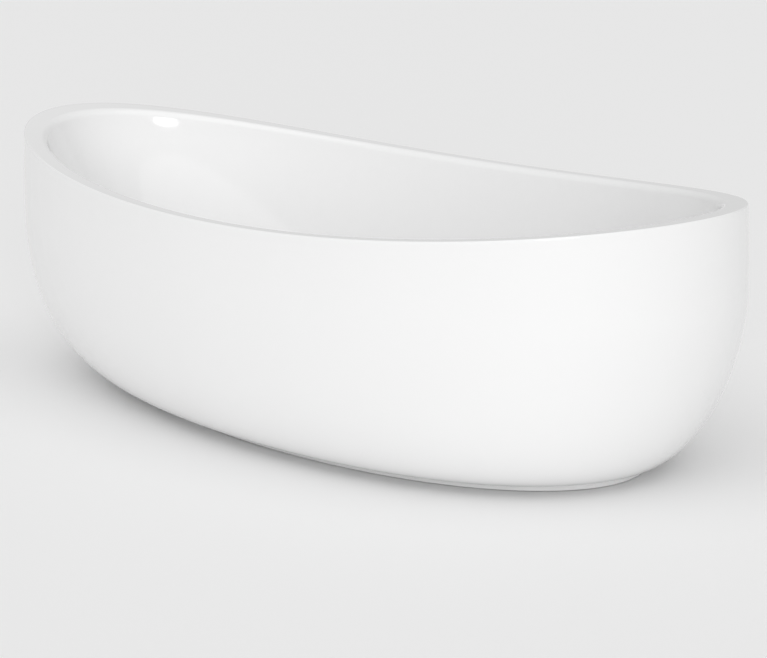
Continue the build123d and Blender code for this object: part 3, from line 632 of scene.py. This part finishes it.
def make_waste_flange():
    """Dished flange with a rolled lip and a sleeve threaded on the outside."""
    low, high = DRAIN_BOX[0].z, DRAIN_BOX[1].z
    under = high - 0.0027
    seat = under + 0.001
    sleeve, thread_low = 0.0257, low + 0.001
    pitch, depth, plain_neck = 0.002, 0.0005, 0.009
    outline = [(0.0230, low, 0.0004), (0.0252, low, 0.0004), (sleeve, thread_low, 0)]
    outline += [(sleeve, thread_low + (under - low - 0.001) * k / 100, 0) for k in range(1, 100)]
    outline += [
        (sleeve, under, 0), (0.0370, under, 0.0003), (0.0368, under + 0.0010, 0.0005), (0.0345, high, 0.0012),
        (0.0322, high, 0.0006), (0.0312, seat, 0.0003), (0.0240, seat, 0.0008), (0.0230, seat - 0.0012, 0.0008),
    ]

    def thread(turn, radius, height):
        share = (radius > sleeve - 0.0001) & (height < under - plain_neck)
        wave = np.abs(((height / pitch - turn / (2 * math.pi)) % 1.0) - 0.5) * 2
        return radius - share * wave * depth, height

    return lathe("waste_flange_dish", outline, at_drain(), thread, around=120)


def make_guide():
    """Guide in the sleeve that centres the stopper's stem: a hub and four arms."""
    low, high = 0.084, 0.091
    bore, outer = 0.00406, 0.0070
    outline = [(bore, low, 0.0003), (outer, low, 0.0008), (outer, high, 0.0008), (bore, high, 0.0003)]
    hub = lathe("waste_guide_hub", outline, at_drain(), around=48)
    arms = []
    for number, turn in enumerate((0, 90, 180, 270), 1):
        place = at_drain() @ Matrix.Rotation(math.radians(turn), 4, "Z")
        start, end = (0.0069, -0.00175, low), (0.0231, 0.00175, high)
        arms.append(bar(f"waste_guide_arm_{number}", start, end, 0.0005, place))
    return [hub, *arms]


def bar(name, low, high, soft, place):
    """A straight bar with rounded edges."""
    mesh = bpy.data.meshes.new(name)
    shape = bmesh.new()
    bmesh.ops.create_cube(shape, size=1.0)
    size = [h - l for l, h in zip(low, high)]
    middle = [(h + l) / 2 for l, h in zip(low, high)]
    for vertex in shape.verts:
        vertex.co = Vector([c * s + m for c, s, m in zip(vertex.co, size, middle)])
    bmesh.ops.bevel(shape, geom=shape.edges[:], offset=soft, segments=3, profile=0.5, affect="EDGES")
    shape.transform(place)
    shape.to_mesh(mesh)
    shape.free()
    mesh.shade_smooth()
    mesh.set_sharp_from_angle(angle=math.radians(35))
    piece = bpy.data.objects.new(name, mesh)
    bpy.context.scene.collection.objects.link(piece)
    return piece


def make_knob():
    """Fluted chrome knob, hollow behind, with a hub that grips the shaft."""
    outline = [
        (0.0040, 0.0076, 0.0002), (0.0080, 0.0076, 0.0004), (0.0080, 0.0148, 0.0006), (0.0330, 0.0148, 0.0012),
        (0.0330, 0.0061, 0.0004), (0.0358, 0.0061, 0.0006), (0.0358, 0.0186, 0.0034), (0.0240, 0.0186, 0.0030),
        (0.0200, 0.0176, 0.0030), (0.0040, 0.0172, 0.0004),
    ]
    grip = flutes(12, 0.0011, 0.0335)
    knob = lathe("overflow_knob_fluted", outline, at_overflow(), grip, around=240)
    plug = lathe("overflow_knob_cap", [
        (0, 0.0142, 0), (0.0040, 0.0142, 0), (0.0040, 0.0178, 0.0006), (0, 0.0181, 0),
    ], at_overflow(), around=48)
    return [knob, plug]


def make_rosette():
    """Cover plate with a raised rim, a bearing collar and six water slots."""
    collar = lathe("overflow_rosette_collar", [
        (0.00408, 0.0008, 0.0002), (0.0098, 0.0008, 0.0002), (0.0098, 0.0032, 0.0003),
        (0.0080, 0.0035, 0.0003), (0.0080, 0.0072, 0.0005), (0.00408, 0.0072, 0.0003),
    ], at_overflow(), around=64)
    rim = lathe("overflow_rosette_rim", [
        (0.0226, 0.0008, 0.0003), (0.0340, 0.0008, 0.0005), (0.0340, 0.0022, 0.0009),
        (0.0318, 0.0032, 0.0009), (0.0226, 0.0032, 0.0004),
    ], at_overflow(), around=96)
    spokes = []
    for number in range(8):
        place = at_overflow() @ Matrix.Rotation(math.radians(45 * number), 4, "Z")
        half = 0.0042 if number % 4 == 0 else 0.0016  # the two broad ones carry the screws
        start, end = (0.0096, -half, 0.001), (0.0228, half, 0.0030)
        spokes.append(bar(f"overflow_rosette_spoke_{number + 1}", start, end, 0.0003, place))
    return [collar, rim, *spokes]


def screw(name, place, head_r, head, shaft_r, length):
    """Pan-head screw: Z out of the head, origin under it, with a cross recess and a ridged shank."""
    recess = head_r * 0.52
    outline = [(0, head - recess * 0.75, 0), (recess * 0.45, head - recess * 0.70, 0.0002)]
    outline += [(recess, head, 0.0002), (head_r * 0.72, head, 0.0004), (head_r, head * 0.45, 0.0006)]
    outline += [(head_r, 0.0001, 0.0002), (shaft_r, 0.0001, 0.0001)]
    steps = int((length - 2 * shaft_r) / (shaft_r * 0.16))
    for k in range(1, steps):
        groove = (k % 2) * shaft_r * 0.12
        outline.append((shaft_r - groove, -(length - 1.2 * shaft_r) * k / steps, 0))
    outline += [(shaft_r * 0.8, -length + shaft_r * 0.8, 0.0002), (0, -length, 0)]

    def cross(turn, radius, height):
        inside = (radius < recess * 1.02) & (height > head - recess)
        lobe = 0.62 + 0.38 * np.cos(turn * 4) ** 2
        return np.where(inside, radius * lobe, radius), height

    return lathe(name, outline[::-1], place, cross, around=48)


def make_screws():
    """Board, bracket and overflow screws, each at its own place."""
    board, bracket, overflow = [], [], []
    head_r, head, shaft_r = 0.0045, 0.003, 0.0025
    pair_gap = 0.050
    low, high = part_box("board_screws")
    near, far = low.y + head_r, high.y - head_r
    for x in (low.x + head_r, high.x - head_r):
        for y in (near, near + pair_gap, far - pair_gap, far):
            place = Matrix.Translation((x, y, low.z + head)) @ Matrix.Rotation(math.pi, 4, "X")
            board.append(screw(f"board_screw_{len(board) + 1}", place, head_r, head, shaft_r, 0.033))
    plate = 0.0025           # thickness of a bracket, and the length of its screws
    leg_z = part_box("cross_member_head")[0].z + 0.014
    for number in FEET:
        low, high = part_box(f"skirt_bracket_{number}")
        y = (low.y + high.y) / 2
        inward = 1 if high.x < DRAIN_X else -1
        face = low.x if inward > 0 else high.x
        foot = Matrix.Translation((face + inward * 0.018, y, low.z + plate))
        bracket.append(screw(f"bracket_foot_screw_{number}", foot, head_r, head, shaft_r, plate))
        leg = Matrix.Translation((face + inward * plate, y, leg_z))
        leg = leg @ Matrix.Rotation(math.radians(90 * inward), 4, "Y")
        bracket.append(screw(f"bracket_leg_screw_{number}", leg, head_r, head, shaft_r, plate))
    for number, side in enumerate((-0.018, 0.018), 1):
        place = at_overflow() @ Matrix.Translation((side, 0, 0.0032))
        overflow.append(screw(f"overflow_screw_{number}", place, 0.004, 0.0016, 0.00195, 0.030))
    return {"board_screws": board, "bracket_screws": bracket, "overflow_screws": overflow}


def make_foot(number):
    """Ribbed pad, threaded stem with a hexagon, adjusting nut and lock nut."""
    spot = middle_of(f"foot_pad_{number}")
    place = Matrix.Translation((spot.x, spot.y, 0))
    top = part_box(f"foot_pad_{number}")[1].z
    outline = [
        (0, 0.0012, 0), (0.0060, 0.0012, 0.0003), (0.0075, 0, 0.0003), (0.0100, 0, 0.0003),
        (0.0112, 0.0012, 0.0003), (0.0130, 0.0012, 0.0003), (0.0142, 0, 0.0003), (0.0168, 0, 0.0003),
        (0.0180, 0.0012, 0.0003), (0.0198, 0.0012, 0.0003), (0.0210, 0, 0.0003), (0.0249, 0, 0.0006),
        (0.0249, 0.0035, 0.0008), (0.0236, top - 0.0006, 0.0020), (0.0130, top, 0.0015),
        (0.0062, top, 0.0004), (0.0061, 0.0045, 0.0002), (0, 0.0045, 0),
    ]
    pad = lathe(f"foot_pad_{number}_ribbed", outline, place, around=96)
    stem_low, stem_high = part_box(f"foot_stem_{number}")
    collar_top = top + 0.006
    thread_name, thread_low = f"foot_stem_{number}_thread", collar_top - 0.0004
    stem = threaded(thread_name, place, thread_low, stem_high.z, 0.00594, THREAD_PITCH, 0.0009)
    outline = [
        (0, stem_low.z + 0.001, 0), (0.0058, stem_low.z + 0.001, 0.0004), (0.0058, top + 0.0002, 0),
        (0.0093, top + 0.0002, 0), (0.0095, top + 0.0003, 0), (0.0095, collar_top, 0),
        (0.0093, collar_top, 0), (0, collar_top, 0),
    ]
    flats = hexagon(ACROSS_FLATS, 0.0093)
    collar = lathe(f"foot_stem_{number}_hexagon", outline, place, flats, around=144)
    made = {"stem": [stem, collar], "pad": [pad]}
    bore, bevel = 0.00602, 0.0008
    flats = hexagon(ACROSS_FLATS, 0.0094)
    for kind in ("adjusting_nut", "lock_nut"):
        low, high = (end.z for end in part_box(f"{kind}_{number}"))
        outline = [(bore, low + bevel, 0), (bore + bevel, low, 0)]
        outline += [(radius, low, 0) for radius in (0.0091, 0.0093, 0.0095)]
        outline += [(radius, high, 0) for radius in (0.0095, 0.0093, 0.0091)]
        outline += [(bore + bevel, high, 0), (bore, high - bevel, 0)]
        made[kind] = [lathe(f"{kind}_{number}_chamfered", outline, place, flats, around=144)]
    return made


def wall_route(node, step):
    """The CAD's route of a hose or cable down the wall and in to the waste: its path, distances and radius."""
    low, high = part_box(node)
    x = (low.x + high.x) / 2
    radius = (high.x - low.x) / 2
    drop_y, level = low.y + radius, low.z + radius
    points = [(x, drop_y, high.z), (x, drop_y, BEND_TOP), (x, BEND_Y, level), (x, high.y, level)]
    path, along = route(points, BEND_RADII, step)
    return path, along, radius


def make_hose():
    """Corrugated overflow hose with smooth cuffs."""
    path, along, radius = wall_route("overflow_hose", 0.0008)
    length = along[-1]
    cuff, rib_pitch, rib_depth = 0.022, 0.0046, 0.0011

    def ribs(distance):
        share = np.clip((np.minimum(distance, length - distance) - cuff) / 0.003, 0, 1)
        return radius - 0.0001 - share * rib_depth * (1 - np.sin(distance * 2 * math.pi / rib_pitch)) * 0.8

    return tube("overflow_hose_corrugated", path, along, ribs, bore=radius - 0.0024, around=48)


def make_cable():
    """Pull cable in its jacket, with a crimped ferrule at each end."""
    path, along, radius = wall_route("pull_cable", 0.0012)
    length = along[-1]
    ferrule, groove_gap, groove_wide = 0.018, 5.0, 1.2  # the gap and width in millimetres

    def jacket(distance):
        from_end = np.minimum(distance, length - distance)
        crimp = (from_end < ferrule) & (from_end > 0.0012)
        groove = crimp & ((from_end * 1000 % groove_gap) < groove_wide)
        return radius - 0.0005 + np.where(crimp, 0.00045, 0) - np.where(groove, 0.0003, 0)

    return tube("pull_cable_jacket", path, along, jacket, around=24)


def make_slip_nuts():
    """Three ribbed plastic slip nuts: trap outlet, trap inlet and hose."""
    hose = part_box("overflow_hose")
    level = hose[0].z + (hose[1].x - hose[0].x) / 2
    outlet_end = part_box("slip_nuts")[1].x
    along_x = Matrix.Rotation(math.radians(90), 4, "Y")
    along_y = Matrix.Rotation(math.radians(90), 4, "X")
    spots = [  # name, origin, direction, bore radius, outer radius, length
        ("outlet_nut", (outlet_end - 0.014, 0, middle_of("outlet_pipe").z), along_x, 0.0202, 0.0250, 0.014),
        ("trap_inlet_nut", (DRAIN_X + 0.032, 0, level), along_x, 0.0122, 0.0170, 0.0135),
        ("hose_nut", (DRAIN_X, -0.061, level), along_y, 0.0112, 0.0145, 0.012),
    ]
    made = []
    for name, origin, direction, bore, outer, length in spots:
        outline = [
            (bore, 0.0002, 0.0004), (outer - 0.0008, 0.0002, 0.0006),
            (outer + 0.0004, length * 0.25, 0.0006), (outer + 0.0004, length * 0.80, 0.0006),
            (outer - 0.0014, length - 0.0002, 0.0006), (bore, length - 0.0002, 0.0004),
        ]
        place = Matrix.Translation(origin) @ direction
        grip = flutes(16, 0.0016, outer - 0.0016)
        made.append(lathe(name + "_ribbed", outline, place, grip, around=192))
    return made


# ---- dress every piece ---------------------------------------------------------------------------
WHITE = 0.86             # how bright the acrylic is
FINISHES = {
    "basin_gloss": acrylic("basin_gloss_acrylic", WHITE, 0.075),
    "skirt_gloss": acrylic("skirt_gloss_acrylic", WHITE, 0.085),
    "plinth_gloss": acrylic("plinth_gloss_acrylic", WHITE * 0.93, 0.16),
    "board": sealed_board("resin_sealed_board"),
    "frame_steel": powder_coat("frame_powder_coat", 0.42),
    "zinc_screw": zinc("screw_zinc", 0.62, 1600.0),
    "zinc_steel": zinc("foot_zinc", 0.58),
    "chrome_trim": chrome("trim_chrome"),
    "brass_shaft": turned_brass("shaft_brass"),
    "seal_rubber": rubber("seal_rubber_black", 0.018),
    "pad_rubber": rubber("pad_rubber_black", 0.028),
    "waste_plastic": moulded("waste_polypropylene", (0.72, 0.72, 0.69)),
    "nut_plastic": moulded("nut_polypropylene", (0.045, 0.046, 0.050), 0.45),
    "hose_plastic": moulded("hose_polyethylene", (0.52, 0.52, 0.52), 0.42),
    "cable_sheath": rubber("cable_jacket_black", 0.020),
}
BODIES = frame["record"]["behaviour"]["bodies"]
BODY_OF = {node: body for body, nodes in BODIES.items() for node in nodes}
SLOT_OF = {entry["node"]: entry["material_slot"] for entry in frame["record"]["subparts"]}


def paint(piece, node):
    """Gives a piece the finish of its CAD node."""
    piece.data.materials.clear()
    piece.data.materials.append(FINISHES[SLOT_OF[node]])


def stand_for(node, *pieces):
    """These pieces take the CAD node's place, body and finish."""
    for piece in pieces:
        paint(piece, node)
        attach(piece, BODY_OF[node])
        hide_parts(node)


stand_for("outer_skirt", make_skirt())
stand_for("basin", make_basin())
stand_for("plinth_ring", make_ring())
stand_for("stopper_cap", make_stopper_cap())
stand_for("waste_flange", make_waste_flange(), *make_guide())
stand_for("overflow_knob", *make_knob())
stand_for("overflow_rosette", *make_rosette())
for node, screws in make_screws().items():
    stand_for(node, *screws)
for number in FEET:
    foot = make_foot(number)
    stand_for(f"foot_pad_{number}", *foot["pad"])
    stand_for(f"foot_stem_{number}", *foot["stem"])
    stand_for(f"adjusting_nut_{number}", *foot["adjusting_nut"])
    stand_for(f"lock_nut_{number}", *foot["lock_nut"])
stand_for("overflow_hose", make_hose())
stand_for("pull_cable", make_cable())
stand_for("slip_nuts", *make_slip_nuts())
for node, piece in frame["nodes"].items():
    if not piece.hide_render:
        paint(piece, node)


# ---- stage, lights and camera --------------------------------------------------------------------
def make_floor():
    """A wide, matt, pale studio floor."""
    half = 30.0
    corners = [(-half, -half, 0), (half, -half, 0), (half, half, 0), (-half, half, 0)]
    floor = add_mesh("studio_floor", corners, [(0, 1, 2, 3)])
    matt = Finish("floor_paint", Roughness=0.9)
    matt.shader.inputs["Base Color"].default_value = (*grey(0.90), 1)
    floor.data.materials.append(matt.material)


def wide_sun(name, towards, strength, spread):
    """A soft distant light; spread is the angle in degrees that it fills in the sky."""
    light = bpy.data.lights.new(name, "SUN")
    light.energy = strength
    light.angle = math.radians(spread)
    lamp = bpy.data.objects.new(name, light)
    lamp.rotation_euler = towards.to_track_quat("Z", "Y").to_euler()
    bpy.context.scene.collection.objects.link(lamp)


def from_side(azimuth, elevation):
    """Direction from the tub, by azimuth (0 to the -Y side, 90 to the foot end) and elevation, in degrees."""
    a, e = math.radians(azimuth), math.radians(elevation)
    return Vector((math.sin(a) * math.cos(e), -math.cos(a) * math.cos(e), math.sin(e)))


def make_lights():
    """Even white surroundings, a low wash from the front and a broad one from above."""
    world = bpy.data.worlds.new("studio")
    world.use_nodes = True
    sky = world.node_tree.nodes["Background"]
    sky.inputs["Color"].default_value = (1, 1, 1, 1)
    sky.inputs["Strength"].default_value = 0.64
    bpy.context.scene.world = world
    wide_sun("front_wash", from_side(48, 12), 1.0, 24)
    wide_sun("top_wash", from_side(30, 70), 0.62, 70)


def make_camera():
    """A long lens near the foot end, a little above the rim."""
    data = bpy.data.cameras.new("camera")
    data.sensor_width = 36.0
    data.lens = 127.263
    camera = bpy.data.objects.new("camera", data)
    back = from_side(45.70, 12.80)
    camera.location = Vector((0.0992, 0.0, 0.1984)) + back * 5.648
    camera.rotation_euler = back.to_track_quat("Z", "Y").to_euler()
    bpy.context.scene.collection.objects.link(camera)
    bpy.context.scene.camera = camera


make_floor()
make_lights()
make_camera()
bpy.context.scene.view_settings.view_transform = "Standard"
